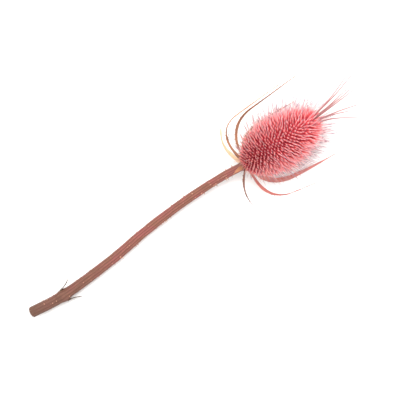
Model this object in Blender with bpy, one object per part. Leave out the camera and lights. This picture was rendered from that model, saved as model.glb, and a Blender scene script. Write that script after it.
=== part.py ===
"""A picked teasel: a dry ribbed stalk that lies on a surface and carries one spiny, oval seed head.

The foot of the stalk is at -X and the tip of the head points towards +X. The surface is z = 0: the
stalk rests on its swollen joint, the head on the flat patch where its spines are pressed down.
"""

import math

import bmesh
import bpy
from mathutils import Vector

# Where the stalk's cut foot is, so that the origin is under the middle of the whole plant.
FOOT_X = -0.15913
FOOT_Y = 0.00140

GAP = 0.0003  # clearance between neighbouring pieces

# The stalk: its middle line from the foot, and how thick it is.
STALK_ROUTE = [
    (0.000, 0.0000, 0.0051),
    (0.030, -0.0030, 0.0050),
    (0.078, -0.0013, 0.0050),
    (0.113, 0.0022, 0.0053),
    (0.150, 0.0040, 0.0067),
    (0.185, 0.0035, 0.0105),
    (0.210, 0.0012, 0.0153),
]
STALK_SIDES = 16
STEPS_PER_SPAN = 7
FOOT_RADIUS = 0.0042
NECK_RADIUS = 0.0028
RIB_DEPTH = 0.05
JOINT_AT = 0.030
JOINT_SWELL = 0.0011
JOINT_SPREAD = 0.0035
COLLAR_RADIUS = 0.0056
COLLAR_LENGTH = 0.0045
COLLAR_FLARE = 0.0030
PRICKLE_HEIGHT = 0.0013
PRICKLE_EVERY = 23
PRICKLE_LOWEST = 0.0035
BARE_FOOT_RINGS = 3
BARE_NECK_RINGS = 9
RIND_THICKNESS = 0.0013
PITH_SUNK = 0.0012

# The head: an egg shape, blunt at the stalk, covered in spines set in crossing spirals.
HEAD_LENGTH = 0.074
HEAD_RADIUS = 0.0225
HEAD_EGG = 0.12
HEAD_TIP_UP = math.radians(12.0)
HEAD_YAW = math.radians(-1.0)
HEAD_END_ANGLE = math.radians(15.0)
SPINES_AROUND = 26
SPINE_ROWS = 36
BARE_ROWS = 2
SPINE_LENGTH = 0.0046
SPINE_LEAN = 0.65

# The involucre: long narrow bracts in two whorls on the collar. Each row holds the place around
# the head (0 is the +Y side, 90 is on top), length, width, and the direction at the start and at
# the tip (0 is straight ahead, 90 is straight out), then how far the tip swings round.
INVOLUCRE = [
    (14, 0.084, 0.0034, 98, 2, 6),
    (32, 0.032, 0.0028, 94, 46, 0),
    (92, 0.013, 0.0030, 102, 84, 0),
    (138, 0.028, 0.0020, 112, 74, 14),
    (180, 0.062, 0.0046, 98, 8, -6),
    (222, 0.072, 0.0036, 98, 14, 8),
    (266, 0.024, 0.0030, 118, 112, 0),
    (306, 0.066, 0.0036, 98, 12, -10),
    (338, 0.096, 0.0032, 98, 0, 10),
    (358, 0.024, 0.0018, 104, 30, 24),
]
WHORL_STARTS = (-0.0013, -0.0031)
BRACT_START_RADIUS = 0.0062
BRACT_BEND = 0.044
BRACT_THICKNESS = 0.0011
BRACT_STEPS = 14
BRACT_FOOT = 0.1  # the share of a bract that never turns level
BRACT_FOOT_WIDTH = 0.8
BRACT_WIDEST = 0.25
BRACT_TIP = 0.16
LOW_BRACT = 0.003  # a bract lower than this turns its flat side to the surface

# The topknot: the longest, straight spines, in a small ring on the tip.
TOPKNOT = [
    (0, 0.0000, 0.030, 4),
    (20, 0.0034, 0.040, 16),
    (70, 0.0034, 0.034, 22),
    (125, 0.0034, 0.027, 26),
    (180, 0.0034, 0.024, 30),
    (230, 0.0034, 0.026, 24),
    (285, 0.0034, 0.029, 28),
    (335, 0.0034, 0.036, 24),
]
TOPKNOT_RADIUS = 0.00065
TOPKNOT_TIP = 0.4
TOPKNOT_SIDES = 6
TOPKNOT_STEPS = 4

# The withered leaf stubs on the stalk's joint.
STUB_SIDES_DEG = (18, 196)
STUB_LENGTH = 0.0105
STUB_WIDTH = 0.0032
STUB_THICKNESS = 0.0014
STUB_SPREAD = math.radians(24.0)

COLOURS = {
    "stalk": ((0.50, 0.27, 0.17), 0.72),
    "head": ((0.62, 0.11, 0.14), 0.70),
    "bract": ((0.58, 0.30, 0.22), 0.66),
    "topknot": ((0.48, 0.26, 0.24), 0.60),
    "stub": ((0.22, 0.17, 0.12), 0.80),
}


def clear_scene():
    for item in list(bpy.data.objects):
        bpy.data.objects.remove(item, do_unlink=True)


def plain_material(name):
    colour, roughness = COLOURS[name]
    material = bpy.data.materials.new(name)
    material.use_nodes = True
    shader = material.node_tree.nodes["Principled BSDF"]
    shader.inputs["Base Color"].default_value = (*colour, 1.0)
    shader.inputs["Roughness"].default_value = roughness
    shader.inputs["Metallic"].default_value = 0.0
    return material


def add_object(name, mesh_builder, material):
    mesh = bpy.data.meshes.new(name)
    bmesh.ops.recalc_face_normals(mesh_builder, faces=mesh_builder.faces)
    mesh_builder.to_mesh(mesh)
    mesh_builder.free()
    mesh.materials.append(material)
    item = bpy.data.objects.new(name, mesh)
    bpy.context.scene.collection.objects.link(item)
    return item


def skin_rings(rings):
    """A closed body through rings of points: walls between neighbours and a face on each end."""
    builder = bmesh.new()
    loops = [[builder.verts.new(point) for point in ring] for ring in rings]
    for lower, upper in zip(loops, loops[1:]):
        for i in range(len(lower)):
            j = (i + 1) % len(lower)
            builder.faces.new((lower[i], lower[j], upper[j], upper[i]))
    builder.faces.new(list(reversed(loops[0])))
    builder.faces.new(loops[-1])
    return builder


def smooth_route(points, after, steps):
    """Evenly stepped points on a smooth curve through the given ones, leaving towards `after`."""
    before = points[0] * 2 - points[1]
    chain = [before, *points, after]
    route = []
    for k in range(1, len(chain) - 2):
        p0, p1, p2, p3 = chain[k - 1:k + 3]
        for step in range(steps):
            u = step / steps
            route.append(
                p1
                + (p2 - p0) * (0.5 * u)
                + (p0 * 2 - p1 * 5 + p2 * 4 - p3) * (0.5 * u * u)
                + (p1 * 3 - p0 - p2 * 3 + p3) * (0.5 * u * u * u)
            )
    route.append(points[-1])
    return route


def head_axes():
    """The head's base point and its axes: ahead, to the side and upwards."""
    ahead = Vector((
        math.cos(HEAD_TIP_UP) * math.cos(HEAD_YAW),
        math.cos(HEAD_TIP_UP) * math.sin(HEAD_YAW),
        math.sin(HEAD_TIP_UP),
    ))
    side = Vector((0, 0, 1)).cross(ahead).normalized()
    upwards = ahead.cross(side)
    neck = Vector(STALK_ROUTE[-1]) + Vector((FOOT_X, FOOT_Y, 0))
    return neck, ahead, side, upwards


def head_point(along, out, around):
    neck, ahead, side, upwards = head_axes()
    return neck + ahead * along + (side * math.cos(around) + upwards * math.sin(around)) * out


def direction_from(angle, around):
    """The direction that leaves the head's axis by an angle, at a place around it."""
    _, ahead, side, upwards = head_axes()
    outward = side * math.cos(around) + upwards * math.sin(around)
    return ahead * math.cos(angle) + outward * math.sin(angle)


def stalk_radius(along, total):
    share = along / total
    radius = FOOT_RADIUS + (NECK_RADIUS - FOOT_RADIUS) * share
    radius += JOINT_SWELL * math.exp(-((along - JOINT_AT) / JOINT_SPREAD) ** 2)
    left = total - along
    if left < COLLAR_LENGTH + COLLAR_FLARE:
        flare = min(1.0, (COLLAR_LENGTH + COLLAR_FLARE - left) / COLLAR_FLARE)
        radius += (COLLAR_RADIUS - radius) * flare * flare * (3 - 2 * flare)
    return radius


def stalk_line():
    """The stalk's middle line, with extra points where the collar flares."""
    _, ahead, _, _ = head_axes()
    shift = Vector((FOOT_X, FOOT_Y, 0))
    knots = [Vector(knot) + shift for knot in STALK_ROUTE]
    route = smooth_route(knots, knots[-1] + ahead * 0.025, STEPS_PER_SPAN)
    keep = COLLAR_LENGTH + COLLAR_FLARE
    neck = knots[-1]
    line = [point for point in route if (neck - point).length > keep + 0.001]
    for share in (1.0, 0.75, 0.5, 0.25, 0.0):
        line.append(neck - ahead * (COLLAR_LENGTH + COLLAR_FLARE * share))
    line.append(neck)
    return line


def make_stalk(material):
    line = stalk_line()
    total = sum((b - a).length for a, b in zip(line, line[1:]))
    rings = []
    along = 0.0
    for k, point in enumerate(line):
        if k:
            along += (point - line[k - 1]).length
        tangent = (line[min(k + 1, len(line) - 1)] - line[max(k - 1, 0)]).normalized()
        if k == 0:
            tangent = Vector((1, 0, 0))
        across = Vector((0, 0, 1)).cross(tangent).normalized()
        over = tangent.cross(across)
        radius = stalk_radius(along, total)
        ring = []
        for i in range(STALK_SIDES):
            turn = math.tau * i / STALK_SIDES
            rib = 1.0 - RIB_DEPTH if i % 2 else 1.0
            spot = point + (across * math.cos(turn) + over * math.sin(turn)) * radius * rib
            spot.z = max(spot.z, 0.0)
            ring.append(spot)
        rings.append(ring)
    builder = skin_rings(rings)
    add_prickles(builder, len(rings))
    cut_foot(builder)
    return add_object("stem", builder, material)


def add_prickles(builder, ring_count):
    """Short prickles: every so many wall faces, away from both ends and from the surface below."""
    walls = [face for face in builder.faces if len(face.verts) == 4]
    last = (ring_count - BARE_NECK_RINGS) * STALK_SIDES
    chosen = [
        face
        for number, face in enumerate(walls)
        if number % PRICKLE_EVERY == 0
        and BARE_FOOT_RINGS * STALK_SIDES < number < last
        and face.calc_center_median().z > PRICKLE_LOWEST
    ]
    bmesh.ops.poke(builder, faces=chosen, offset=PRICKLE_HEIGHT)


def cut_foot(builder):
    """The cut face of the stalk, with its pith sunk a little below the rind."""
    foot = min(builder.faces, key=lambda face: face.calc_center_median().x)
    bmesh.ops.inset_region(builder, faces=[foot], thickness=RIND_THICKNESS, depth=0.0)
    bmesh.ops.translate(builder, verts=foot.verts, vec=Vector((PITH_SUNK, 0, 0)))


def head_profile(angle):
    """How far along and how far out the egg's surface is, from the stalk (0) to the tip (pi)."""
    along = HEAD_LENGTH / 2 * (math.cos(HEAD_END_ANGLE) - math.cos(angle)) + GAP
    out = HEAD_RADIUS * math.sin(angle) * (1 + HEAD_EGG * math.cos(angle))
    return along, out


def row_angle(row):
    return HEAD_END_ANGLE + (math.pi - 2 * HEAD_END_ANGLE) * row / SPINE_ROWS


def surface_tilt(angle):
    """The surface's outward direction, as an angle from the head's axis."""
    step = 0.001
    along_a, out_a = head_profile(angle - step)
    along_b, out_b = head_profile(angle + step)
    return math.atan2(along_b - along_a, -(out_b - out_a))


def make_head(material):
    """The egg, laid out in diamonds that cross in spirals, each drawn out to a leaning spine."""
    builder = bmesh.new()
    grid = []
    for row in range(SPINE_ROWS + 1):
        along, out = head_profile(row_angle(row))
        ring = []
        for i in range(SPINES_AROUND):
            around = math.tau * (i + row / 2) / SPINES_AROUND
            ring.append(builder.verts.new(head_point(along, out, around)))
        grid.append(ring)
    count = SPINES_AROUND
    builder.faces.new(list(reversed(grid[0])))
    builder.faces.new(grid[-1])
    for i in range(count):
        builder.faces.new((grid[0][i], grid[0][(i + 1) % count], grid[1][i]))
        builder.faces.new((grid[-1][(i + 1) % count], grid[-1][i], grid[-2][(i + 1) % count]))
    for row in range(SPINE_ROWS - 1):
        for i in range(count):
            low = grid[row][i]
            left = grid[row + 1][(i - 1) % count]
            right = grid[row + 1][i]
            top = grid[row + 2][(i - 1) % count]
            diamond = builder.faces.new((low, right, top, left))
            if row < SPINE_ROWS - 1 - BARE_ROWS:
                tilt = surface_tilt(row_angle(row + 1)) * SPINE_LEAN
                around = math.tau * (i + row / 2) / count
                reach = direction_from(tilt, around) * SPINE_LENGTH
                made = bmesh.ops.poke(builder, faces=[diamond])
                made["verts"][0].co += reach
    press_flat(builder)
    return add_object("seed_head", builder, material)


def press_flat(builder):
    """The patch that the head rests on: what would reach below the surface is pressed level."""
    everything = builder.verts[:] + builder.edges[:] + builder.faces[:]
    bmesh.ops.bisect_plane(
        builder, geom=everything, plane_co=(0, 0, 0), plane_no=(0, 0, 1), clear_inner=True
    )
    rim = [edge for edge in builder.edges if edge.is_boundary]
    bmesh.ops.holes_fill(builder, edges=rim, sides=0)


def bract_line(around, length, start, end, swing, along):
    """Points along a bract: out from the collar, bowing forwards, and never below the surface."""
    out = BRACT_START_RADIUS
    step = length / BRACT_STEPS
    floor = BRACT_THICKNESS / 2
    line = []
    for k in range(BRACT_STEPS + 1):
        share = k / BRACT_STEPS
        turn = math.radians(around + swing * share * share)
        point = head_point(along, out, turn)
        point.z = max(point.z, floor)
        line.append((point, turn))
        bend = min(1.0, share * length / min(BRACT_BEND, length))
        angle = math.radians(start + (end - start) * bend * bend * (3 - 2 * bend))
        along += math.cos(angle) * step
        out += math.sin(angle) * step
    return line


def bract_taper(share):
    """A bract's width along it, as a share of its widest part: narrow, then wide, then a point."""
    if share < BRACT_WIDEST:
        return BRACT_FOOT_WIDTH + (1 - BRACT_FOOT_WIDTH) * share / BRACT_WIDEST
    return 1 - (1 - BRACT_TIP) * (share - BRACT_WIDEST) / (1 - BRACT_WIDEST)


def bract_across(point, turn, tangent, share):
    """The direction across a bract: around the head, or level where the bract is low."""
    _, ahead, _, _ = head_axes()
    across = ahead.cross(direction_from(math.pi / 2, turn))
    level = Vector((0, 0, 1)).cross(tangent).normalized()
    if level.dot(across) < 0:
        level.negate()
    if share > BRACT_FOOT:
        low = 1.0 - (point.z - BRACT_THICKNESS) / LOW_BRACT
        across = across.lerp(level, min(1.0, max(0.0, low)))
    return (across - tangent * across.dot(tangent)).normalized()


def make_bract(number, row, material):
    around, length, width, start, end, swing = row
    whorl = WHORL_STARTS[number % len(WHORL_STARTS)]
    line = bract_line(around, length, start, end, swing, whorl)
    rings = []
    for k, (point, turn) in enumerate(line):
        share = k / BRACT_STEPS
        after = line[min(k + 1, BRACT_STEPS)][0]
        before = line[max(k - 1, 0)][0]
        tangent = (after - before).normalized()
        across = bract_across(point, turn, tangent, share)
        through = across.cross(tangent)
        thick = BRACT_THICKNESS / 2 * max(0.5, min(1.0, 1.3 - share))
        half = width / 2 * bract_taper(share)
        ring = [
            point + across * half,
            point + across * half * 0.5 + through * thick,
            point - across * half * 0.5 + through * thick,
            point - across * half,
            point - across * half * 0.5 - through * thick,
            point + across * half * 0.5 - through * thick,
        ]
        sunk = min(0.0, min(spot.z for spot in ring))
        for spot in ring:
            spot.z -= sunk
        rings.append(ring)
    return add_object(f"involucral_bract_{number + 1:02d}", skin_rings(rings), material)


def make_topknot_spine(number, row, material):
    """One long spine of the topknot: it stands on the tip and fans a little outwards."""
    around_deg, out, length, fan = row
    around = math.radians(around_deg)
    tip_along, _ = head_profile(math.pi - HEAD_END_ANGLE)
    point = head_point(tip_along + GAP, out, around)
    rings = []
    for k in range(TOPKNOT_STEPS + 1):
        share = k / TOPKNOT_STEPS
        angle = math.radians(fan) * min(1.0, 0.35 + share)
        tangent = direction_from(angle if k else 0.0, around)
        across = tangent.orthogonal().normalized()
        over = tangent.cross(across)
        radius = TOPKNOT_RADIUS * (1 - (1 - TOPKNOT_TIP) * share)
        ring = []
        for i in range(TOPKNOT_SIDES):
            turn = math.tau * i / TOPKNOT_SIDES
            ring.append(point + (across * math.cos(turn) + over * math.sin(turn)) * radius)
        rings.append(ring)
        point = point + direction_from(angle, around) * length / TOPKNOT_STEPS
    return add_object(f"topknot_spine_{number + 1}", skin_rings(rings), material)


def make_leaf_stub(number, side_deg, material):
    """A withered leaf base: a short, pointed scale that stands off the joint, towards the head."""
    turn = math.radians(side_deg)
    joint = Vector((FOOT_X + JOINT_AT, FOOT_Y + STALK_ROUTE[1][1], STALK_ROUTE[1][2]))
    outward = Vector((0, math.cos(turn), math.sin(turn)))
    forward = Vector((1, 0, 0))
    across = forward.cross(outward)
    start_out = FOOT_RADIUS + JOINT_SWELL + GAP + STUB_THICKNESS / 2
    rings = []
    for k, width_share in enumerate((0.85, 1.0, 0.75, 0.2)):
        share = k / 3
        away = start_out + STUB_LENGTH * share * math.sin(STUB_SPREAD) * (0.4 + 0.6 * share)
        point = joint + forward * STUB_LENGTH * share + outward * away
        half = STUB_WIDTH / 2 * width_share
        thick = STUB_THICKNESS / 2 * (1.0 - 0.5 * share)
        rings.append([
            point + across * half,
            point + outward * thick,
            point - across * half,
            point - outward * thick,
        ])
    return add_object(f"leaf_stub_{number + 1}", skin_rings(rings), material)


def main():
    clear_scene()
    materials = {name: plain_material(name) for name in COLOURS}
    make_stalk(materials["stalk"])
    make_head(materials["head"])
    for number, row in enumerate(INVOLUCRE):
        make_bract(number, row, materials["bract"])
    for number, row in enumerate(TOPKNOT):
        make_topknot_spine(number, row, materials["topknot"])
    for number, side in enumerate(STUB_SIDES_DEG):
        make_leaf_stub(number, side, materials["stub"])


main()
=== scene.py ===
"""A dried, dyed teasel that has been picked and laid down: its surfaces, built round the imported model."""

import math

import bpy
import numpy as np
from bpy.props import FloatProperty, FloatVectorProperty, IntProperty, PointerProperty
from mathutils import Matrix, Quaternion, Vector


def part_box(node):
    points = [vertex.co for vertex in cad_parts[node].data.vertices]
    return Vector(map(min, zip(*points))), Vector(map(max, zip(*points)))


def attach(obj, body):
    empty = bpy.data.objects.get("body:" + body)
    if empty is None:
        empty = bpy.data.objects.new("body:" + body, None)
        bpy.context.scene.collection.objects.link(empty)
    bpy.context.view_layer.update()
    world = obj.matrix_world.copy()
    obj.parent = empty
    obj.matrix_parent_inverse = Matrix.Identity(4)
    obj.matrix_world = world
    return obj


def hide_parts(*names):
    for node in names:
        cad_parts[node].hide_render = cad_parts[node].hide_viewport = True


bl_info = {
    "name": "Dried teasel",
    "version": (1, 0, 0),
    "blender": (4, 5, 0),
    "location": "3D View > Sidebar > Teasel",
    "description": "Models a dyed teasel seed head with its stalk, bracts and spines",
    "category": "Object",
}

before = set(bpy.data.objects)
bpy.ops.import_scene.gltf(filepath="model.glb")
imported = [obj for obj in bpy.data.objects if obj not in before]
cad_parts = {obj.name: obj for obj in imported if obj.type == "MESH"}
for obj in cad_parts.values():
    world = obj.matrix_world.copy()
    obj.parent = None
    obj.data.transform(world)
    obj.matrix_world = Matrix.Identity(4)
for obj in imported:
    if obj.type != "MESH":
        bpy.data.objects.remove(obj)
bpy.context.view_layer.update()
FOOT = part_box("stem")[0]

# The stalk's middle line from its foot, in metres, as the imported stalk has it.
FOOT_Y = 0.00140
STALK_ROUTE = [
    (0.000, 0.0000, 0.0051),
    (0.030, -0.0030, 0.0050),
    (0.078, -0.0013, 0.0050),
    (0.113, 0.0022, 0.0053),
    (0.150, 0.0040, 0.0067),
    (0.185, 0.0035, 0.0105),
    (0.210, 0.0012, 0.0153),
]
# The swollen joint and the flared collar: place along the stalk, extra radius and length.
JOINT_AT = 0.030
JOINT_SWELL = 0.0010
JOINT_LENGTH = 0.0032
COLLAR_FLARE = 0.0026
COLLAR_LENGTH = 0.0075
# The cut foot: the rind's thickness, how far the pith has shrunk back, and the dish in its middle.
RIND_THICKNESS = 0.0009
PITH_SUNK = 0.0006
PITH_RIM = 0.0004
PITH_DISH = 0.0004
# A withered leaf stub, from its root on the joint.
STUB_ROOT = 0.0042
STUB_LENGTH = 0.0115
STUB_HALF_WIDTH = 0.0019
STUB_HALF_DEPTH = 0.0005
STUB_LIFT = 0.0040
HEAD_TIP_UP = math.radians(12.0)
HEAD_YAW = math.radians(-1.0)
GOLDEN_TURN = math.pi * (3 - math.sqrt(5))

# The long bracts at the base of the head: place around it (0 is the +Y side, 90 on top), length,
# width, direction at the start and at the tip (0 straight ahead, 90 straight out), swing, finish.
INVOLUCRE = [
    (14, 0.084, 0.0034, 98, 2, 6, "tan"),
    (32, 0.032, 0.0028, 94, 46, 0, "cream"),
    (92, 0.013, 0.0030, 102, 84, 0, "tan"),
    (138, 0.028, 0.0020, 112, 74, 14, "dark"),
    (180, 0.062, 0.0046, 98, 8, -6, "pink"),
    (222, 0.072, 0.0036, 98, 14, 8, "pink"),
    (266, 0.024, 0.0030, 118, 112, 0, "tan"),
    (306, 0.066, 0.0036, 98, 12, -10, "tan"),
    (338, 0.096, 0.0032, 98, 0, 10, "tan"),
    (358, 0.024, 0.0018, 104, 30, 24, "dark"),
]
WHORL_STARTS = (-0.0013, -0.0031)
BRACT_BEND = 0.044
BRACT_ROOT = 0.0034
BRACT_SUNK = 0.0028
BRACT_TOOTH = 0.0013

# The topknot's long spines: place around the tip, distance out, length, and how far they fan.
TOPKNOT = [
    (0, 0.0000, 0.030, 4),
    (20, 0.0034, 0.040, 16),
    (70, 0.0034, 0.034, 22),
    (125, 0.0034, 0.027, 26),
    (180, 0.0034, 0.024, 30),
    (230, 0.0034, 0.026, 24),
    (285, 0.0034, 0.029, 28),
    (335, 0.0034, 0.036, 24),
]
TOPKNOT_AT = 0.0712
SPINE_SUNK = 0.014
SPINE_RADIUS = 0.00046
SPINE_POINT = 0.00010

# The receptacle starts inside the collar, and bracts cover it between these places, which are
# counted from the stalk. Over the bracts the head is an egg of this half length and radius.
CORE_START = -0.0005
FIRST_BRACT = math.radians(8)
LAST_BRACT = math.radians(174)
BRACT_COVER = 0.010
COVER_HALF_LENGTH = 0.037
COVER_RADIUS = 0.0225

# How far an awn is drawn out: a broken one, a whole one, and what a long one near the tip adds.
# Where there are two numbers, the second is the most that chance adds.
BROKEN_AWN = (0.66, 0.16)
WHOLE_AWN = 1.26
LONG_AWN = (0.2, 0.7)
LONG_WILDNESS = 2.4
# Drawing out the awn leaves the blade's length as it was, near enough, at this power.
AWN_POWER = 1.3
WHOLE_EVERY = 3
LONG_EVERY = 4


def linear(code):
    """A colour given as sRGB hex, as the linear RGBA that Blender's sockets take."""
    parts = [int(code[i:i + 2], 16) / 255 for i in (1, 3, 5)]
    return (*[p / 12.92 if p <= 0.04045 else ((p + 0.055) / 1.055) ** 2.4 for p in parts], 1.0)


def colour_setting(name, description, code):
    return FloatVectorProperty(
        name=name, description=description, default=linear(code), size=4, min=0.0, max=1.0,
        subtype="COLOR")


class TeaselStalkSettings(bpy.types.PropertyGroup):
    foot_radius: FloatProperty(
        name="Foot radius", description="Half the stalk's thickness at the cut",
        default=0.0042, unit="LENGTH")
    neck_radius: FloatProperty(
        name="Neck radius", description="Half the stalk's thickness under the head",
        default=0.0028, unit="LENGTH")
    ribs: IntProperty(name="Ribs", description="How many ribs run along the stalk", default=11)
    rib_depth: FloatProperty(
        name="Rib depth", description="Depth of the grooves, as a share of the radius",
        default=0.085, subtype="FACTOR")
    prickles: IntProperty(
        name="Prickles", description="How many prickles stand on the ribs", default=110)
    prickle_length: FloatProperty(
        name="Prickle length", description="Length of an average prickle",
        default=0.0014, unit="LENGTH")
    rind: colour_setting("Rind", "The dry rind", "#815140")
    dye: colour_setting("Dye", "The pink that the dye left on the rind", "#8F4F49")
    # A dark colour used both as painted shade in the grooves and for the real scars and specks.
    groove_shade_and_scar: colour_setting("Grooves", "The bottoms of the grooves", "#5C382D")
    weathered: colour_setting("Weathered", "The weathered rind near the foot", "#5D4436")
    pith: colour_setting("Pith", "The pith at the cut", "#D9C6A4")
    thorn: colour_setting("Prickle", "The prickles", "#BE8F76")


class TeaselHeadSettings(bpy.types.PropertyGroup):
    bracts: IntProperty(
        name="Bracts", description="How many spined bracts cover the head", default=1320)
    core_length: FloatProperty(
        name="Core length", description="Length of the receptacle inside the bracts",
        default=0.0600, unit="LENGTH")
    core_radius: FloatProperty(
        name="Core radius", description="Widest radius of the receptacle",
        default=0.0134, unit="LENGTH")
    egg: FloatProperty(
        name="Egg", description="How much fuller the lower half is", default=0.12,
        subtype="FACTOR")
    reach: FloatProperty(
        name="Reach", description="Length of a bract with its awn, halfway up the head",
        default=0.0136, unit="LENGTH")
    base_reach: FloatProperty(
        name="Base reach", description="Length of the lowest bracts", default=0.0068, unit="LENGTH")
    blade_width: FloatProperty(
        name="Blade width", description="Widest part of a bract's blade",
        default=0.0026, unit="LENGTH")
    lean: FloatProperty(
        name="Lean", description="How far the bracts keep to the surface's own direction",
        default=0.71, subtype="FACTOR")
    wildness: FloatProperty(
        name="Wildness", description="How far single bracts stray",
        default=math.radians(2.6), subtype="ANGLE")
    long_from: FloatProperty(
        name="Long awns from", description="How far round from the stalk the long awns begin",
        default=math.radians(128), subtype="ANGLE")
    # Painted shade at the foot of each bract, deep among the others; also the receptacle's lighter colour.
    gap: colour_setting("Gaps", "The depths between the bracts", "#D4525F")
    blade: colour_setting("Blade", "The dyed blades", "#EB7276")
    bright: colour_setting("Bright", "Where blade turns into awn", "#F29A9B")
    awn: colour_setting("Awn", "The awns", "#DB989D")
    # Painted shade in the depths near the stalk.
    awn_tip: colour_setting("Awn tip", "The fine ends of the awns", "#7A6472")
    depth: colour_setting("Depths", "The depths near the stalk", "#8A2438")
    # A painted highlight on the blades' ends near the tip.
    pale: colour_setting("Pale", "The ends of the blades near the tip", "#EDB6B8")
    straw: colour_setting("Straw", "Bracts that took little dye", "#C98F78")


class TeaselInvolucreSettings(bpy.types.PropertyGroup):
    thickness: FloatProperty(
        name="Thickness", description="Thickness of a long bract", default=0.0006, unit="LENGTH")
    prickle_spacing: FloatProperty(
        name="Prickle spacing", description="Distance between the prickles on an edge",
        default=0.0042, unit="LENGTH")
    tan: colour_setting("Tan", "Bracts dried tan", "#B28162")
    pink: colour_setting("Pink", "Bracts that took the dye", "#C97A70")
    cream: colour_setting("Cream", "Bleached stubs", "#EBCBA4")
    dark: colour_setting("Dark", "Withered bracts", "#7C5549")
    spine: colour_setting("Topknot spine", "The long spines on the tip", "#A87472")
    withered: colour_setting("Withered leaf", "The leaf stubs on the joint", "#6B5646")


class TeaselStageSettings(bpy.types.PropertyGroup):
    floor: colour_setting("Floor", "The floor", "#F4F2F0")
    camera_distance: FloatProperty(
        name="Camera distance", description="From the camera to what it looks at",
        default=1.0, unit="LENGTH")
    sky: FloatProperty(
        name="Sky", description="Brightness of the soft light from all round", default=0.85)
    lens: FloatProperty(name="Lens", description="Focal length", default=127.0, unit="CAMERA")
    lean_forward: FloatProperty(
        name="Lean", description="How far the camera leans from overhead towards the tip",
        default=math.radians(20.0), subtype="ANGLE")
    rise: FloatProperty(
        name="Rise", description="How steeply the stalk rises across the picture",
        default=math.radians(34.3), subtype="ANGLE")


def settings():
    """The stalk's and the head's settings, which most pieces need."""
    return bpy.context.scene.teasel_stalk, bpy.context.scene.teasel_head


# Places on the plant


def head_axes():
    """Where the stalk ends, and the head's directions: towards its tip, its side and its upper side."""
    ahead = Vector((
        math.cos(HEAD_TIP_UP) * math.cos(HEAD_YAW),
        math.cos(HEAD_TIP_UP) * math.sin(HEAD_YAW),
        math.sin(HEAD_TIP_UP),
    ))
    side = Vector((0, 0, 1)).cross(ahead).normalized()
    return foot_shift() + Vector(STALK_ROUTE[-1]), ahead, side, ahead.cross(side)


def foot_shift():
    """From the stalk's own zero to its place in the frame."""
    return Vector((FOOT[0], FOOT_Y, 0.0))


def outward_at(around):
    """The direction straight out from the head's axis at a place around it."""
    _, _, side, upwards = head_axes()
    return side * math.cos(around) + upwards * math.sin(around)


def head_point(along, out, around):
    neck, ahead, _, _ = head_axes()
    return neck + ahead * along + outward_at(around) * out


def smooth_route(points, after, steps):
    """A smooth line through the points, which leaves the last one towards `after`."""
    chain = [points[0] * 2 - points[1], *points, after]
    route = []
    for k in range(1, len(chain) - 2):
        p0, p1, p2, p3 = chain[k - 1:k + 3]
        for step in range(steps):
            u = step / steps
            route.append(
                p1
                + (p2 - p0) * (0.5 * u)
                + (p0 * 2 - p1 * 5 + p2 * 4 - p3) * (0.5 * u * u)
                + (p1 * 3 - p0 - p2 * 3 + p3) * (0.5 * u * u * u)
            )
    route.append(points[-1])
    return route


def ease(value):
    """0 to 1, with a soft start and a soft end."""
    value = min(1.0, max(0.0, value))
    return value * value * (3 - 2 * value)


def turned(across, towards):
    """The turn that puts a profile's X along `across` and its Z along `towards`."""
    towards = towards.normalized()
    across = (across - towards * across.dot(towards)).normalized()
    over = towards.cross(across)
    return Matrix((across, over, towards)).transposed().to_quaternion()


# Modelling steps


def select_only(piece):
    """Makes a piece the one that the next operator acts on."""
    bpy.ops.object.select_all(action="DESELECT")
    piece.select_set(True)
    bpy.context.view_layer.objects.active = piece


def begin(name, add_primitive, **options):
    """Adds a primitive as the only selected object, and names it."""
    bpy.ops.object.select_all(action="DESELECT")
    add_primitive(**options)
    piece = bpy.context.object
    piece.name = name
    piece.data.name = name
    return piece


def grow(stations):
    """Extrudes the selected face from station to station. A station is a place, a turn, a width
    and a depth."""
    for (spot, turn, wide, deep), (spot0, turn0, wide0, deep0) in zip(stations[1:], stations):
        bpy.ops.mesh.extrude_region_move(TRANSFORM_OT_translate={"value": spot - spot0})
        bend = (turn @ turn0.inverted()).to_euler("XYZ")
        for axis, angle in zip("XYZ", bend):
            if abs(angle) > 1e-6:
                bpy.ops.transform.rotate(
                    value=-angle, orient_axis=axis, orient_type="GLOBAL", center_override=spot)
        if abs(wide / wide0 - 1) > 1e-6 or abs(deep / deep0 - 1) > 1e-6:
            bpy.ops.transform.resize(
                value=(wide / wide0, deep / deep0, 1), orient_type="GLOBAL",
                orient_matrix=turn.to_matrix(), orient_matrix_type="GLOBAL", center_override=spot)


def grown_piece(name, stations, sides, shape_profile=None):
    """A limb grown by extruding a flat profile along its stations. The profile is a circle of
    radius 1 before shape_profile moves its corners."""
    spot, turn, wide, deep = stations[0]
    piece = begin(name, bpy.ops.mesh.primitive_circle_add, vertices=sides, radius=1.0,
                  fill_type="NGON")
    if shape_profile:
        for vertex in piece.data.vertices:
            vertex.co = shape_profile(vertex.co)
    scale = Matrix.Diagonal((wide, deep, 1.0, 1.0))
    piece.data.transform(Matrix.Translation(spot) @ turn.to_matrix().to_4x4() @ scale)
    bpy.ops.object.mode_set(mode="EDIT")
    bpy.ops.mesh.select_all(action="SELECT")
    grow(stations)
    bpy.ops.mesh.select_all(action="SELECT")
    bpy.ops.mesh.normals_make_consistent(inside=False)
    bpy.ops.object.mode_set(mode="OBJECT")
    return piece


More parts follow.
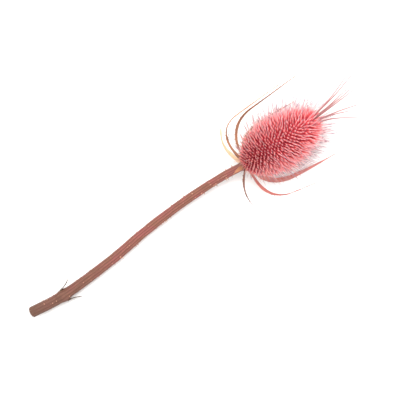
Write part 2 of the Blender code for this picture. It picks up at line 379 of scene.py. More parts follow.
def follow_uv(piece, stations, sides):
    """A UV map that follows a limb: U runs once round it, V is metres along it."""
    layer = piece.data.uv_layers.new(name="growth")
    travelled = [0.0]
    for (spot, *_), (before, *_) in zip(stations[1:], stations):
        travelled.append(travelled[-1] + (spot - before).length)
    around = []
    for vertex in piece.data.vertices:
        spot, turn, wide, deep = stations[vertex.index // sides]
        local = turn.inverted() @ (vertex.co - spot)
        around.append(math.atan2(local.y / deep, local.x / wide) / math.tau % 1.0)
    for polygon in piece.data.polygons:
        turns = [around[i] for i in polygon.vertices]
        wraps = max(turns) - min(turns) > 0.5
        for loop, index in zip(polygon.loop_indices, polygon.vertices):
            u = around[index]
            layer.data[loop].uv = (u + 1.0 if wraps and u < 0.5 else u, travelled[index // sides])


def roughen(piece, size, strength):
    """Uneven swelling, as dry plant tissue has."""
    clouds = bpy.data.textures.new(piece.name, "CLOUDS")
    clouds.noise_scale = size
    swelling = piece.modifiers.new("Swelling", "DISPLACE")
    swelling.texture = clouds
    swelling.texture_coords = "GLOBAL"
    swelling.strength = strength
    swelling.mid_level = 0.5
    select_only(piece)
    bpy.ops.object.modifier_apply(modifier=swelling.name)


def lift(piece, least):
    """Nothing reaches below the surface that the plant lies on."""
    for vertex in piece.data.vertices:
        vertex.co.z = max(vertex.co.z, least)


def keep(piece, material, replaces=(), sharp=math.radians(50)):
    """Shades a piece, gives it the material if it has none, hangs it on the root body and hides the
    imported nodes that it stands for.
    """
    select_only(piece)
    bpy.ops.object.shade_smooth_by_angle(angle=sharp)
    if not piece.data.materials:
        piece.data.materials.append(material)
    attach(piece, "root")
    if replaces:
        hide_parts(*replaces)


def planted(name, template, places, tints):
    """One mesh from many copies of a template, each shaped by a function of the template's points.
    U of the UV map is each copy's own tint, V is how far up the copy a point is."""
    source = template.data
    points = np.array([vertex.co for vertex in source.vertices])
    faces = [tuple(polygon.vertices) for polygon in source.polygons]
    height = points[:, 2] / points[:, 2].max()
    all_points = []
    all_faces = []
    for number, place in enumerate(places):
        all_points.append(place(points))
        start = number * len(points)
        all_faces += [tuple(index + start for index in face) for face in faces]
    mesh = bpy.data.meshes.new(name)
    mesh.from_pydata(np.concatenate(all_points).tolist(), [], all_faces)
    layer = mesh.uv_layers.new(name="growth")
    corners = np.zeros(len(mesh.loops), dtype=np.int32)
    mesh.loops.foreach_get("vertex_index", corners)
    tint = np.repeat(np.array(tints), len(points))
    rise = np.tile(height, len(places))
    layer.data.foreach_set("uv", np.stack([tint[corners], rise[corners]], axis=1).ravel())
    piece = bpy.data.objects.new(name, mesh)
    bpy.context.scene.collection.objects.link(piece)
    bpy.data.objects.remove(template, do_unlink=True)
    return piece


# Materials


def add(tree, kind, values=(), links=()):
    """Adds a shader node, sets its values and links its inputs. A value is a socket, a setting or a
    ramp's stops. A colour Mix has its factor at socket 0 and its colours at 6 and 7."""
    node = tree.nodes.new("ShaderNode" + kind)
    for key, value in dict(values).items():
        if key == "stops":
            elements = node.color_ramp.elements
            while len(elements) < len(value):
                elements.new(0.5)
            for element, (position, colour) in zip(elements, value):
                element.position = position
                element.color = colour
        elif isinstance(key, int) or key in node.inputs:
            node.inputs[key].default_value = value
        else:
            setattr(node, key, value)
    for key, source in dict(links).items():
        tree.links.new(source, node.inputs[key])
    return node


def start_material(name, roughness, specular=0.35):
    """Dry plant tissue and paint don't conduct, so metallic and IOR stay at their defaults."""
    material = bpy.data.materials.new(name)
    material.use_nodes = True
    tree = material.node_tree
    shader = tree.nodes["Principled BSDF"]
    shader.inputs["Roughness"].default_value = roughness
    shader.inputs["Specular IOR Level"].default_value = specular
    return material, tree, shader


def stalk_material(stalk):
    """Dry teasel rind, dyed with the head: tan with pink patches, darkened in the grooves by painted
    shade, satin on the ribs, weathered to grey-brown towards the foot."""
    material, tree, shader = start_material("dry_teasel_rind", 0.62, 0.4)
    uv = add(tree, "UVMap", {"uv_map": "growth"}).outputs["UV"]
    split = add(tree, "SeparateXYZ", links={"Vector": uv})
    phase = add(tree, "Math", {"operation": "MULTIPLY", 1: math.tau * stalk.ribs},
                {0: split.outputs["X"]})
    wave = add(tree, "Math", {"operation": "COSINE"}, {0: phase.outputs[0]})
    crest = add(tree, "MapRange", {"From Min": -1.0, "From Max": 1.0},
                {"Value": wave.outputs[0]}).outputs[0]
    # Fibres: 0.3 mm apart round the stalk and about 10 mm long.
    fibre_map = add(tree, "Mapping", {"Scale": (80.0, 100.0, 1.0)}, {"Vector": uv})
    fibre = add(tree, "TexNoise", {"Scale": 1.0, "Detail": 5.0, "Roughness": 0.65},
                {"Vector": fibre_map.outputs[0]}).outputs["Fac"]
    # Scars and specks, 1 to 2 mm across.
    place = add(tree, "TexCoord").outputs["Object"]
    speck = add(tree, "TexNoise", {"Scale": 700.0, "Detail": 3.0}, {"Vector": place})
    scar = add(tree, "MapRange", {"From Min": 0.58, "From Max": 0.72, "To Max": 0.55},
               {"Value": speck.outputs["Fac"]}).outputs[0]
    # Patches where the dye took, 10 to 30 mm long.
    patch_map = add(tree, "Mapping", {"Scale": (2.0, 70.0, 1.0)}, {"Vector": uv})
    patch = add(tree, "TexNoise", {"Scale": 1.0, "Detail": 2.0}, {"Vector": patch_map.outputs[0]})
    dyed = add(tree, "MapRange", {"From Min": 0.42, "From Max": 0.62},
               {"Value": patch.outputs["Fac"]}).outputs[0]
    base = add(tree, "Mix", {"data_type": "RGBA", 6: stalk.rind, 7: stalk.dye},
               {0: dyed}).outputs[2]
    foot = add(tree, "MapRange", {"From Min": 0.10, "From Max": 0.0, "To Max": 0.8},
               {"Value": split.outputs["Y"]}).outputs[0]
    aged = add(tree, "Mix", {"data_type": "RGBA", 7: stalk.weathered},
               {0: foot, 6: base}).outputs[2]
    streak = add(tree, "MapRange",
                 {"From Min": 0.34, "From Max": 0.68, "To Min": 0.66, "To Max": 1.36},
                 {"Value": fibre}).outputs[0]
    toned = add(tree, "HueSaturation", links={"Color": aged, "Value": streak}).outputs[0]
    # Painted shade: the grooves between the ribs are darkened towards the dark colour, where shade would
    # fall.
    painted_groove_shade = add(tree, "MapRange", {"From Min": 0.38, "From Max": 0.0, "To Max": 0.9},
                 {"Value": crest}).outputs[0]
    with_groove_shade = add(tree, "Mix", {"data_type": "RGBA", 7: stalk.groove_shade_and_scar},
                  {0: painted_groove_shade, 6: toned}).outputs[2]
    # Scars and specks, real marks on the rind, take the same dark colour.
    colour = add(tree, "Mix", {"data_type": "RGBA", 7: stalk.groove_shade_and_scar},
                 {0: scar, 6: with_groove_shade}).outputs[2]
    tree.links.new(colour, shader.inputs["Base Color"])
    rough = add(tree, "MapRange", {"To Min": 0.5, "To Max": 0.78}, {"Value": fibre})
    tree.links.new(rough.outputs[0], shader.inputs["Roughness"])
    bump = add(tree, "Bump", {"Strength": 0.8, "Distance": 0.0004}, {"Height": fibre})
    tree.links.new(bump.outputs[0], shader.inputs["Normal"])
    return material


def head_material(head):
    """Dyed teasel bracts, dry and stiff: a darker red deep down, which is painted shade, coral where a
    blade turns into its awn, and a dull grey-lilac along the awn, which took the dye badly. Lower bracts
    took less dye."""
    material, tree, shader = start_material("dyed_teasel_bract", 0.58, 0.35)
    # Light passes through the thin blades, about 1 mm of red and less of the rest.
    shader.inputs["Subsurface Weight"].default_value = 0.5
    shader.inputs["Subsurface Radius"].default_value = (1.0, 0.45, 0.4)
    shader.inputs["Subsurface Scale"].default_value = 0.0015
    uv = add(tree, "UVMap", {"uv_map": "growth"}).outputs["UV"]
    split = add(tree, "SeparateXYZ", links={"Vector": uv})
    up = split.outputs["Y"]
    tint = split.outputs["X"]
    # Along each bract: its foot takes the gap colour as painted shade where it lies deep, then blade,
    # bright, awn and awn tip.
    stops = (
        (0.0, head.gap), (0.10, head.gap), (0.30, head.blade),
        (0.50, head.bright), (0.60, head.awn), (0.74, head.awn_tip),
    )
    grown = add(tree, "ValToRGB", {"stops": stops}, {"Fac": up}).outputs["Color"]
    place = add(tree, "TexCoord").outputs["Object"]
    neck, ahead, _, _ = head_axes()
    height = add(tree, "VectorMath", {"operation": "DOT_PRODUCT", 1: tuple(ahead)}, {0: place})
    start = neck.dot(ahead)
    climb = add(tree, "MapRange", {"From Min": start, "From Max": start + 0.045},
                {"Value": height.outputs["Value"]}).outputs[0]
    # Dye patches, 8 to 15 mm across.
    patch = add(tree, "TexNoise", {"Scale": 90.0, "Detail": 2.0}, {"Vector": place}).outputs["Fac"]
    mixed = add(tree, "Math", {"operation": "MULTIPLY_ADD", 1: 0.9, 2: -0.25}, {0: patch})
    undyed = add(tree, "Math", {"operation": "ADD"}, {0: mixed.outputs[0], 1: tint})
    less = add(tree, "Math", {"operation": "SUBTRACT"}, {0: undyed.outputs[0], 1: climb})
    share = add(tree, "MapRange", {"From Min": 0.0, "From Max": 1.2, "To Max": 0.85},
                {"Value": less.outputs[0]}).outputs[0]
    lit = add(tree, "MapRange", {"From Min": 0.35, "From Max": 0.6}, {"Value": up}).outputs[0]
    straw = add(tree, "Math", {"operation": "MULTIPLY"}, {0: share, 1: lit}).outputs[0]
    colour = add(tree, "Mix", {"data_type": "RGBA", 7: head.straw},
                 {0: straw, 6: grown}).outputs[2]
    value = add(tree, "MapRange", {"To Min": 0.86, "To Max": 1.14}, {"Value": tint}).outputs[0]
    toned = add(tree, "HueSaturation", links={"Color": colour, "Value": value}).outputs[0]
    # Towards the stalk the depths are painted darker still, as painted shade, and towards the tip the
    # blades' ends are painted paler, as a painted highlight.
    # Painted shade: low on the head and deep on each bract, the colour is mixed towards the dark red.
    low = add(tree, "MapRange", {"From Min": 0.7, "From Max": 0.0}, {"Value": climb}).outputs[0]
    deep = add(tree, "MapRange", {"From Min": 0.45, "From Max": 0.2}, {"Value": up}).outputs[0]
    dark = add(tree, "Math", {"operation": "MULTIPLY"}, {0: low, 1: deep}).outputs[0]
    depths = add(tree, "Mix", {"data_type": "RGBA", 7: head.depth},
                 {0: dark, 6: toned}).outputs[2]
    # Painted highlight: near the tip the blades' outer ends are mixed towards the pale colour.
    high = add(tree, "Math", {"operation": "MULTIPLY"}, {0: climb, 1: lit}).outputs[0]
    below = add(tree, "MapRange", {"From Min": 0.75, "From Max": 0.6, "To Max": 0.9},
                {"Value": up}).outputs[0]
    tip_side_highlight = add(tree, "Math", {"operation": "MULTIPLY"}, {0: high, 1: below}).outputs[0]
    final = add(tree, "Mix", {"data_type": "RGBA", 7: head.pale},
                {0: tip_side_highlight, 6: depths}).outputs[2]
    tree.links.new(final, shader.inputs["Base Color"])
    # Fine ribs along the blades, 0.3 mm apart.
    grain = add(tree, "TexNoise", {"Scale": 3000.0, "Detail": 1.0}, {"Vector": place})
    bump = add(tree, "Bump", {"Strength": 0.25, "Distance": 0.0001},
               {"Height": grain.outputs["Fac"]})
    tree.links.new(bump.outputs[0], shader.inputs["Normal"])
    return material


def core_material(head):
    """The receptacle: dry, corky tissue soaked with dye, painted dark as shade because it lies deep."""
    material, tree, shader = start_material("dyed_receptacle_in_shade", 0.85, 0.2)
    place = add(tree, "TexCoord").outputs["Object"]
    # Seed scars, about 1.5 mm across.
    cells = add(tree, "TexVoronoi", {"Scale": 650.0}, {"Vector": place}).outputs["Distance"]
    stops = ((0.0, linear("#7A1C2C")), (1.0, head.gap))
    colour = add(tree, "ValToRGB", {"stops": stops}, {"Fac": cells})
    tree.links.new(colour.outputs["Color"], shader.inputs["Base Color"])
    bump = add(tree, "Bump", {"Strength": 0.6, "Distance": 0.0005}, {"Height": cells})
    tree.links.new(bump.outputs[0], shader.inputs["Normal"])
    return material


def leaf_material(name, blade, crisped, roughness=0.6):
    """A dry, narrow leaf: a papery blade with veins along it and darker, crisped blotches."""
    material, tree, shader = start_material(name, roughness, 0.35)
    uv = add(tree, "UVMap", {"uv_map": "growth"}).outputs["UV"]
    # Veins: 0.4 mm apart across the blade, running its whole length.
    vein_map = add(tree, "Mapping", {"Scale": (22.0, 40.0, 1.0)}, {"Vector": uv})
    vein = add(tree, "TexNoise", {"Scale": 1.0, "Detail": 3.0}, {"Vector": vein_map.outputs[0]})
    tone = add(tree, "MapRange",
               {"From Min": 0.3, "From Max": 0.7, "To Min": 0.74, "To Max": 1.16},
               {"Value": vein.outputs["Fac"]}).outputs[0]
    place = add(tree, "TexCoord").outputs["Object"]
    # Blotches, 4 to 8 mm across, where the leaf crisped.
    blotch = add(tree, "TexNoise", {"Scale": 170.0, "Detail": 3.0}, {"Vector": place})
    share = add(tree, "MapRange", {"From Min": 0.5, "From Max": 0.72, "To Max": 0.75},
                {"Value": blotch.outputs["Fac"]}).outputs[0]
    base = add(tree, "Mix", {"data_type": "RGBA", 6: blade, 7: crisped}, {0: share}).outputs[2]
    colour = add(tree, "HueSaturation", links={"Color": base, "Value": tone}).outputs[0]
    tree.links.new(colour, shader.inputs["Base Color"])
    bump = add(tree, "Bump", {"Strength": 0.5, "Distance": 0.0002},
               {"Height": vein.outputs["Fac"]})
    tree.links.new(bump.outputs[0], shader.inputs["Normal"])
    return material


def pith_material(stalk):
    """The cut: a pale, spongy pith."""
    material, tree, shader = start_material("dry_pith", 0.9, 0.2)
    place = add(tree, "TexCoord").outputs["Object"]
    # Pith cells, about 0.4 mm across.
    cells = add(tree, "TexVoronoi", {"Scale": 2500.0}, {"Vector": place}).outputs["Distance"]
    stops = ((0.0, linear("#A88E68")), (0.6, stalk.pith))
    colour = add(tree, "ValToRGB", {"stops": stops}, {"Fac": cells})
    tree.links.new(colour.outputs["Color"], shader.inputs["Base Color"])
    bump = add(tree, "Bump", {"Strength": 0.8, "Distance": 0.0003}, {"Height": cells})
    tree.links.new(bump.outputs[0], shader.inputs["Normal"])
    return material


def floor_material(stage):
    """Matt painted board, with a faint unevenness in its sheen."""
    material, tree, shader = start_material("matt_painted_board", 0.7, 0.2)
    shader.inputs["Base Color"].default_value = stage.floor
    place = add(tree, "TexCoord").outputs["Object"]
    noise = add(tree, "TexNoise", {"Scale": 12.0}, {"Vector": place})
    rough = add(tree, "MapRange", {"To Min": 0.66, "To Max": 0.78},
                {"Value": noise.outputs["Fac"]})
    tree.links.new(rough.outputs[0], shader.inputs["Roughness"])
    return material


# The stalk


def stalk_stations(stalk):
    """The stalk's middle line with its thickness: a taper, the swollen joint and the flared collar."""
    _, ahead, _, _ = head_axes()
    knots = [foot_shift() + Vector(knot) for knot in STALK_ROUTE]
    line = smooth_route(knots, knots[-1] + ahead * 0.025, 18)
    total = sum((b - a).length for a, b in zip(line, line[1:]))
    stations = []
    along = 0.0
    turn = None
    for k, spot in enumerate(line):
        if k:
            along += (spot - line[k - 1]).length
        towards = line[min(k + 1, len(line) - 1)] - line[max(k - 1, 0)]
        turn = turned(Vector((0, 1, 0)) if turn is None else turn @ Vector((1, 0, 0)), towards)
        radius = stalk.foot_radius + (stalk.neck_radius - stalk.foot_radius) * along / total
        radius += JOINT_SWELL * math.exp(-((along - JOINT_AT) / JOINT_LENGTH) ** 2)
        radius += COLLAR_FLARE * ease(1 - (total - along) / COLLAR_LENGTH)
        stations.append((spot, turn, radius, radius))
    return stations


def ribbed(ribs, depth):
    """A round profile with rounded ribs and narrow grooves."""
    def shape(corner):
        angle = math.atan2(corner.y, corner.x)
        crest = (0.5 + 0.5 * math.cos(ribs * angle)) ** 0.6
        return corner * (1.0 - depth * (1.0 - crest))
    return shape


class OBJECT_OT_teasel_stalk(bpy.types.Operator):
    """Model the ribbed stalk, with its swollen joint, its collar and its cut foot"""
    bl_idname = "object.teasel_stalk"
    bl_label = "Stalk"

    def execute(self, context):
        stalk, _ = settings()
        sides = stalk.ribs * 5
        stations = stalk_stations(stalk)
        piece = grown_piece("stalk", stations, sides, ribbed(stalk.ribs, stalk.rib_depth))
        follow_uv(piece, stations, sides)
        roughen(piece, 0.012, 0.0005)
        lift(piece, 0.0)
        rind = stalk_material(stalk)
        piece.data.materials.append(rind)
        piece.data.materials.append(pith_material(stalk))
        cut_foot(piece)
        keep(piece, rind, ("stem",), math.radians(60))
        return {"FINISHED"}


def cut_foot(piece):
    """Insets the cut face twice, so that the pith lies below the rim of the rind."""
    select_only(piece)
    bpy.ops.object.mode_set(mode="EDIT")
    bpy.ops.mesh.select_all(action="DESELECT")
    bpy.ops.object.mode_set(mode="OBJECT")
    foot = min(piece.data.polygons, key=lambda polygon: polygon.center.x)
    foot.select = True
    bpy.ops.object.mode_set(mode="EDIT")
    bpy.ops.mesh.inset(thickness=RIND_THICKNESS)
    bpy.ops.transform.translate(value=(PITH_SUNK, 0, 0))
    bpy.ops.mesh.inset(thickness=PITH_RIM)
    bpy.ops.transform.translate(value=(PITH_DISH, 0, 0))
    bpy.ops.object.mode_set(mode="OBJECT")
    for polygon in piece.data.polygons:
        if polygon.select:
            polygon.material_index = 1


def prickle_template(length):
    """A short prickle that leans forwards, growing from z = 0."""
    upright = Quaternion()
    radius = length * 0.3
    stations = [
        (Vector((0, 0, -0.2 * length)), upright, radius, radius * 1.3),
        (Vector((0, 0, 0.15 * length)), upright, radius * 0.7, radius * 0.9),
        (Vector((0, 0.08 * length, 0.55 * length)), upright, radius * 0.34, radius * 0.4),
        (Vector((0, 0.22 * length, length)), upright, radius * 0.08, radius * 0.08),
    ]
    return grown_piece("prickle_template", stations, 5)


def placed(matrix):
    """A function that lays a template's points where a matrix says."""
    turn = np.array(matrix.to_3x3())
    spot = np.array(matrix.translation)
    return lambda points: points @ turn.T + spot


class OBJECT_OT_teasel_prickles(bpy.types.Operator):
    """Stand the prickles on the ribs of the stalk"""
    bl_idname = "object.teasel_prickles"
    bl_label = "Prickles"

    def execute(self, context):
        stalk, _ = settings()
        dice = np.random.default_rng(11)
        stations = stalk_stations(stalk)
        spots = []
        tints = []
        last = len(stations) - 9
        while len(spots) < stalk.prickles:
            k = int(last * dice.random() ** 0.7) + 2
            rib = int(dice.integers(stalk.ribs))
            size = 0.6 + 0.7 * dice.random()
            spot, turn, radius, _ = stations[k]
            angle = math.tau * rib / stalk.ribs
            out = turn @ Vector((math.cos(angle), math.sin(angle), 0))
            at = spot + out * radius * 0.97
            if at.z < 0.0024:
                continue
            stand = turned(turn @ Vector((-math.sin(angle), math.cos(angle), 0)), out)
            forwards = stand @ Quaternion((0, 0, 1), math.pi if dice.random() < 0.3 else 0.0)
            spots.append(placed(Matrix.LocRotScale(at, forwards, Vector((size,) * 3))))
            tints.append(dice.random())
        piece = planted("stalk_prickles", prickle_template(stalk.prickle_length), spots, tints)
        lift(piece, 0.0)
        keep(piece, leaf_material("dry_prickle", stalk.thorn, stalk.dye))
        return {"FINISHED"}


class OBJECT_OT_teasel_leaf_stubs(bpy.types.Operator):
    """Model the two withered leaf stubs on the stalk's joint"""
    bl_idname = "object.teasel_leaf_stubs"
    bl_label = "Leaf stubs"

    def execute(self, context):
        involucre = context.scene.teasel_involucre
        material = leaf_material("withered_leaf_base", involucre.withered, linear("#3E3026"), 0.8)
        for number in (1, 2):
            low, high = (Vector(corner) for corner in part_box(f"leaf_stub_{number}"))
            middle = (low + high) / 2
            joint = foot_shift() + Vector(STALK_ROUTE[1])
            out = Vector((0, middle.y - joint.y, middle.z - joint.z)).normalized()
            start = joint + out * STUB_ROOT
            stations = []
            for k in range(9):
                share = k / 8
                spot = start + Vector((1, 0, 0)) * STUB_LENGTH * share
                spot += out * (0.0006 + STUB_LIFT * share ** 1.6)
                towards = Vector((1, 0, 0)) + out * (0.1 + 0.6 * share)
                across = Vector((1, 0, 0)).cross(out) + out * 0.5 * share
                half = STUB_HALF_WIDTH * (1 - share) ** 0.7 + 0.0002
                deep = STUB_HALF_DEPTH * (1.1 - share)
                stations.append((spot, turned(across, towards), half, deep))
            piece = grown_piece(f"leaf_stub_{number}_withered", stations, 8)
            follow_uv(piece, stations, 8)
            roughen(piece, 0.003, 0.0006)
            keep(piece, material, (f"leaf_stub_{number}",))
        return {"FINISHED"}


# The head


def core_profile(head, angle):
    """Distance along the axis and out from it, for a place counted from the stalk (0) to the tip."""
    along = CORE_START + head.core_length / 2 * (1 - math.cos(angle))
    return along, head.core_radius * math.sin(angle) * (1 + head.egg * math.cos(angle))


def core_tilt(head, angle):
    """The outward direction of the core's surface, as an angle from the head's axis."""
    along_a, out_a = core_profile(head, angle - 0.001)
    along_b, out_b = core_profile(head, angle + 0.001)
    return math.atan2(along_b - along_a, out_a - out_b)


class OBJECT_OT_teasel_core(bpy.types.Operator):
    """Model the receptacle that the bracts stand on"""
    bl_idname = "object.teasel_core"
    bl_label = "Receptacle"

    def execute(self, context):
        _, head = settings()
        piece = begin("receptacle", bpy.ops.mesh.primitive_uv_sphere_add, segments=48,
                      ring_count=32, radius=1.0)
        for vertex in piece.data.vertices:
            angle = math.acos(max(-1.0, min(1.0, -vertex.co.z)))
            along, out = core_profile(head, angle)
            vertex.co = head_point(along, out, math.atan2(vertex.co.y, vertex.co.x))
        roughen(piece, 0.003, 0.0006)
        keep(piece, core_material(head))
        return {"FINISHED"}


def even_angles(head, count):
    """Places from the stalk to the tip that share the head's outer surface out evenly."""
    angles = np.linspace(FIRST_BRACT, LAST_BRACT, 400)
    out = (head.core_radius + BRACT_COVER) * np.sin(angles) * (1 + head.egg * np.cos(angles))
    step = np.hypot(COVER_HALF_LENGTH * np.sin(angles), COVER_RADIUS * np.cos(angles))
    area = np.cumsum(out * step)
    area = (area - area[0]) / (area[-1] - area[0])
    return np.interp((np.arange(count) + 0.5) / count, area, angles)


def bract_template():
    """One bract, a unit long: a boat-shaped blade that narrows to a stiff awn. X is across it and
    its open side faces -Y."""
    upright = Quaternion()
    shape = [
        (0.00, 0.85, 0.60), (0.16, 1.0, 0.90), (0.30, 1.0, 1.0), (0.40, 0.80, 0.92),
        (0.46, 0.46, 0.66), (0.53, 0.24, 0.36), (0.78, 0.19, 0.27), (1.00, 0.07, 0.10),
    ]
    stations = [(Vector((0, 0, z)), upright, wide, deep) for z, wide, deep in shape]
    return grown_piece("bract_template", stations, 6, boat_profile)


def boat_profile(corner):
    """Six corners of a shallow V: keel, edges and a thin inner side."""
    angle = math.atan2(corner.y, corner.x)
    x = math.cos(angle)
    if corner.y > 0.1:
        return Vector((x * 0.7, 0.42 - 0.30 * abs(x), 0))
    if corner.y < -0.1:
        return Vector((x * 0.7, 0.10 - 0.42 * abs(x), 0))
    return Vector((x, -0.42, 0))


def bract_course(start, angle, around, length, curl, stray):
    """Points and outward sides along one bract. It bends aside where it meets the surface below."""
    _, ahead, _, _ = head_axes()
    steps = 8
    spots = [start]
    sides = []
    radial = outward_at(around)
    least = 0.0003
    spot = start.copy()
    for k in range(steps):
        lean = angle + curl * (k / steps)
        towards = ahead * math.cos(lean) + radial * math.sin(lean) + stray
        back = radial * math.cos(lean) - ahead * math.sin(lean)
        towards.normalize()
        room = spot.z - least
        reach = length / steps
        if towards.z * reach * 3 < -room:
            towards.z = -room / (reach * 3)
            towards.normalize()
        spot = spot + towards * reach
        spots.append(spot)
        sides.append((towards, back))
    sides.append(sides[-1])
    return spots, sides


def bent_copy(spots, sides, width, twist, stretch):
    """A function that lays a unit template along a course. Stretch draws out the awn alone."""
    centre = np.array(spots)
    ups = np.array([towards for towards, _ in sides])
    backs = np.array([back for _, back in sides])
    across = np.cross(backs, ups)
    across /= np.linalg.norm(across, axis=1)[:, None]
    backs = np.cross(ups, across)
    across, backs = (
        across * math.cos(twist) + backs * math.sin(twist),
        backs * math.cos(twist) - across * math.sin(twist),
    )
    knots = np.linspace(0, 1, len(spots))

    def lay(points):
        rise = points[:, 2] ** (1 + AWN_POWER * math.log(stretch))
        result = np.zeros_like(points)
        for axis in range(3):
            middle = np.interp(rise, knots, centre[:, axis])
            x = np.interp(rise, knots, across[:, axis])
            y = np.interp(rise, knots, backs[:, axis])
            result[:, axis] = middle + (x * points[:, 0] + y * points[:, 1]) * width
        return result
    return lay


class OBJECT_OT_teasel_head(bpy.types.Operator):
    """Cover the receptacle with spined bracts, set along the golden angle"""
    bl_idname = "object.teasel_head"
    bl_label = "Head bracts"

    def execute(self, context):
        _, head = settings()
        dice = np.random.default_rng(7)
        copies = []
        tints = []
        for number, angle in enumerate(even_angles(head, head.bracts)):
            around = number * GOLDEN_TURN
            along, out = core_profile(head, angle)
            tilt = core_tilt(head, angle) * head.lean
            # The lowest bracts are short, and some of those round the tip are longer than the rest.
            share = ease((angle - FIRST_BRACT) / math.radians(75))
            length = head.base_reach + (head.reach - head.base_reach) * share
            length *= 1 + 0.06 * dice.standard_normal()
            crown = ease((angle - math.radians(145)) / math.radians(25))
            length *= 1 + 0.35 * crown * dice.random()
            # Most awns have lost their ends. The whole ones stand out past them.
            whole = number % WHOLE_EVERY == 0
            stretch = WHOLE_AWN if whole else BROKEN_AWN[0] + BROKEN_AWN[1] * dice.random()
            wildness = head.wildness
            if angle > head.long_from and number % LONG_EVERY == 0:
                stretch += LONG_AWN[0] + LONG_AWN[1] * dice.random()
                wildness *= LONG_WILDNESS
            stray = Vector(dice.standard_normal(3)) * wildness
            curl = math.radians(-4 + 7 * dice.standard_normal())
            spots, sides = bract_course(
                head_point(along, out * 0.97, around), tilt, around, length * stretch, curl, stray)
            half = head.blade_width / 2 * (0.92 + 0.16 * dice.random())
            half *= 0.72 + 0.28 * math.sin(angle)
            twist = math.radians(8) * dice.standard_normal()
            copies.append(bent_copy(spots, sides, half, twist, stretch))
            tints.append(dice.random())
        piece = planted("head_bracts", bract_template(), copies, tints)
        lift(piece, 0.0001)
        keep(piece, head_material(head), ("seed_head",), math.radians(40))
        return {"FINISHED"}


class OBJECT_OT_teasel_topknot(bpy.types.Operator):
    """Model the long spines that stand on the tip of the head"""
    bl_idname = "object.teasel_topknot"
    bl_label = "Topknot"

    def execute(self, context):
        involucre = context.scene.teasel_involucre
        material = leaf_material("stiff_dry_spine", involucre.spine, linear("#8E6A70"), 0.5)
        for number, (around_deg, out, length, fan) in enumerate(TOPKNOT):
            around = math.radians(around_deg)
            spot = head_point(TOPKNOT_AT - SPINE_SUNK, out * 0.6, around)
            _, ahead, _, _ = head_axes()
            steps = 12
            stations = []
            for k in range(steps + 1):
                share = k / steps
                lean = math.radians(fan) * min(1.0, 0.3 + share * 1.1)
                towards = ahead * math.cos(lean) + outward_at(around) * math.sin(lean)
                radius = SPINE_RADIUS * (1 - share) ** 0.5 + SPINE_POINT
                stations.append((spot, turned(outward_at(around + 1.57), towards), radius, radius))
                spot = spot + towards * (length + SPINE_SUNK) / steps
            piece = grown_piece(f"topknot_spine_{number + 1}_fine", stations, 6)
            follow_uv(piece, stations, 6)
            keep(piece, material, (f"topknot_spine_{number + 1}",))
        return {"FINISHED"}


# The involucre


def involucre_stations(row, whorl, thickness):
    """A long bract's course: out of the collar, round its bend, then ahead beside the head. Where it
    comes down to the surface it turns flat and lies on it."""
    around, length, width, start, end, swing, finish = row
    broken = finish == "cream"
    steps = 30
    along = whorl
    out = BRACT_ROOT
    length += BRACT_SUNK
    step = length / steps
    spots = []
    turns = []
    for k in range(steps + 1):
        share = k / steps
        turn = math.radians(around + swing * share * share)
        spot = head_point(along, out, turn)
        spot.z = max(spot.z, thickness * 0.8)
        spots.append(spot)
        turns.append(turn)
        bend = ease(share * length / min(BRACT_BEND, length))
        angle = math.radians(start + (end - start) * bend)
        along += math.cos(angle) * step
        out += math.sin(angle) * step
    stations = []
    for k, spot in enumerate(spots):
        share = k / steps
        towards = spots[min(k + 1, steps)] - spots[max(k - 1, 0)]
        across = head_axes()[1].cross(outward_at(turns[k]))
        level = Vector((0, 0, 1)).cross(towards).normalized()
        if level.dot(across) < 0:
            level.negate()
        if share > 0.1:
            across = across.lerp(level, ease(1 - (spot.z - 0.001) / 0.004))
        taper = 0.75 + 0.25 * ease(share / 0.3) if share < 0.3 else 1 - ((share - 0.3) / 0.7) ** 1.4
        half = width / 2 * max(0.5 if broken else 0.13, taper)
        deep = thickness / 2 * max(0.4, 1.2 - share) * (2.4 if broken else 1.0)
        stations.append((spot, turned(across, towards), half, deep))
    return stations


def leaf_profile(corner):
    """A thin, slightly keeled section with a raised midrib."""
    angle = math.atan2(corner.y, corner.x)
    x = math.cos(angle)
    y = math.sin(angle)
    rib = 1.8 if abs(x) < 0.1 else 0.75
    return Vector((x, y * rib + 1.1 * x * x, 0))


class OBJECT_OT_teasel_involucre(bpy.types.Operator):
    """Model the long, prickly bracts that curve up from the base of the head"""
    bl_idname = "object.teasel_involucre"
    bl_label = "Involucre"

    def execute(self, context):
        involucre = context.scene.teasel_involucre
        finishes = {
            "tan": leaf_material("dry_bract_tan", involucre.tan, linear("#8F6350")),
            "pink": leaf_material("dry_bract_dyed", involucre.pink, linear("#A5584F")),
            "cream": leaf_material("dry_bract_bleached", involucre.cream, linear("#D9AE86")),
            "dark": leaf_material("dry_bract_withered", involucre.dark, linear("#4A332D")),
        }
        dice = np.random.default_rng(5)
        for number, row in enumerate(INVOLUCRE):
            stations = involucre_stations(
                row, WHORL_STARTS[number % len(WHORL_STARTS)], involucre.thickness)
            name = f"involucral_bract_{number + 1:02d}"
            piece = grown_piece(name + "_leaf", stations, 12, leaf_profile)
            follow_uv(piece, stations, 12)
            roughen(piece, 0.006, 0.0005)
            lift(piece, 0.0001)
            material = finishes[row[-1]]
            keep(piece, material, (name,), math.radians(70))
            if row[1] > 0.02:
                prickles = edge_prickles(name + "_prickles", stations, involucre, dice)
                keep(prickles, material)
        return {"FINISHED"}


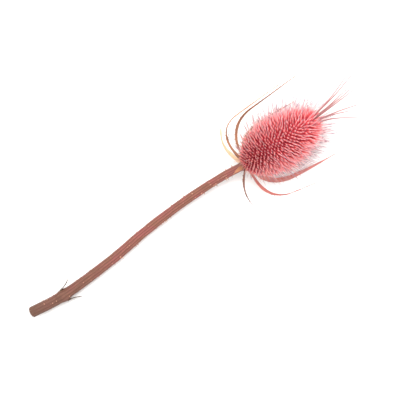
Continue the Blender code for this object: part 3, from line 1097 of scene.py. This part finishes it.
def edge_prickles(name, stations, involucre, dice):
    """Small teeth along both edges of a bract and down its midrib."""
    gap = (stations[1][0] - stations[0][0]).length
    every = max(1, round(involucre.prickle_spacing / gap))
    spots = []
    tints = []
    for k in range(3, len(stations) - 3):
        spot, turn, half, deep = stations[k]
        for side in (-1, 1, 0):
            if (k + side + int(dice.integers(2))) % every:
                continue
            out = turn @ (Vector((side, 0, 0)) if side else Vector((0, 1, 0)))
            at = spot + out * (half * 0.9 if side else deep)
            if at.z < 0.0015 and out.z < 0:
                continue
            size = 0.45 + 0.35 * dice.random()
            stand = turned(turn @ Vector((0, 1, 0)) if side else turn @ Vector((1, 0, 0)), out)
            spots.append(placed(Matrix.LocRotScale(at, stand, Vector((size,) * 3))))
            tints.append(dice.random())
    piece = planted(name, prickle_template(BRACT_TOOTH), spots, tints)
    lift(piece, 0.0)
    return piece


# The stage


def aim(item, spot, target, up=Vector((0, 0, 1))):
    """Places a camera or a light, and points it at the target."""
    back = (spot - target).normalized()
    right = up.cross(back).normalized()
    rotation = Matrix((right, back.cross(right), back)).transposed().to_4x4()
    item.matrix_world = Matrix.Translation(spot) @ rotation


class OBJECT_OT_teasel_stage(bpy.types.Operator):
    """Add the pale floor, the soft lights and the camera"""
    bl_idname = "object.teasel_stage"
    bl_label = "Stage"

    def execute(self, context):
        stage = context.scene.teasel_stage
        floor = begin("floor", bpy.ops.mesh.primitive_plane_add, size=6.0)
        floor.data.materials.append(floor_material(stage))
        world = context.scene.world or bpy.data.worlds.new("studio")
        context.scene.world = world
        world.use_nodes = True
        sky = world.node_tree.nodes["Background"]
        sky.inputs["Color"].default_value = linear("#FFFFFF")
        sky.inputs["Strength"].default_value = stage.sky
        context.scene.view_settings.view_transform = "Standard"
        lean = stage.lean_forward
        back = Vector((math.sin(lean), 0, math.cos(lean)))
        along = Vector((math.cos(lean), 0, -math.sin(lean)))
        left = Vector((0, 1, 0))
        up = along * math.sin(stage.rise) + left * math.cos(stage.rise)
        right = along * math.cos(stage.rise) - left * math.sin(stage.rise)
        target = Vector((0.006, 0.0, 0.014))
        bpy.ops.object.camera_add()
        camera = context.object
        camera.name = "camera"
        camera.data.lens = stage.lens
        camera.data.clip_start = 0.01
        aim(camera, target + back * stage.camera_distance, target, up)
        context.scene.camera = camera
        for name, offset, size, power in (
            ("key_light", up * 0.32 + right * 0.08 + back * 0.90, 0.5, 12.5),
            ("fill_light", right * -0.9 + back * 0.5 - up * 0.2, 0.9, 3.5),
            ("rim_light", right * 0.8 - up * 0.35 + back * 0.4, 0.5, 3.0),
        ):
            bpy.ops.object.light_add(type="AREA")
            light = context.object
            light.name = name
            light.data.size = size
            light.data.energy = power
            aim(light, target + offset, target)
        return {"FINISHED"}


class VIEW3D_PT_teasel(bpy.types.Panel):
    """Lists the teasel's pieces and their settings"""
    bl_idname = "VIEW3D_PT_teasel"
    bl_label = "Teasel"
    bl_space_type = "VIEW_3D"
    bl_region_type = "UI"
    bl_category = "Teasel"

    def draw(self, context):
        for group in PROPERTY_GROUPS:
            box = self.layout.box()
            owner = getattr(context.scene, group)
            for key in owner.bl_rna.properties.keys():
                if key not in ("rna_type", "name"):
                    box.prop(owner, key)
        for operator in PIECE_OPERATORS:
            self.layout.operator(operator.bl_idname)


PROPERTY_GROUPS = {
    "teasel_stalk": TeaselStalkSettings,
    "teasel_head": TeaselHeadSettings,
    "teasel_involucre": TeaselInvolucreSettings,
    "teasel_stage": TeaselStageSettings,
}
PIECE_OPERATORS = (
    OBJECT_OT_teasel_stalk,
    OBJECT_OT_teasel_prickles,
    OBJECT_OT_teasel_leaf_stubs,
    OBJECT_OT_teasel_core,
    OBJECT_OT_teasel_head,
    OBJECT_OT_teasel_topknot,
    OBJECT_OT_teasel_involucre,
    OBJECT_OT_teasel_stage,
)


def register():
    for name, group in PROPERTY_GROUPS.items():
        bpy.utils.register_class(group)
        setattr(bpy.types.Scene, name, PointerProperty(type=group))
    for operator in PIECE_OPERATORS:
        bpy.utils.register_class(operator)
    bpy.utils.register_class(VIEW3D_PT_teasel)


def unregister():
    bpy.utils.unregister_class(VIEW3D_PT_teasel)
    for operator in reversed(PIECE_OPERATORS):
        bpy.utils.unregister_class(operator)
    for name, group in PROPERTY_GROUPS.items():
        delattr(bpy.types.Scene, name)
        bpy.utils.unregister_class(group)


def main():
    register()
    bpy.ops.object.teasel_stalk()
    bpy.ops.object.teasel_prickles()
    bpy.ops.object.teasel_leaf_stubs()
    bpy.ops.object.teasel_core()
    bpy.ops.object.teasel_head()
    bpy.ops.object.teasel_topknot()
    bpy.ops.object.teasel_involucre()
    bpy.ops.object.teasel_stage()


if __name__ == "__main__":
    main()
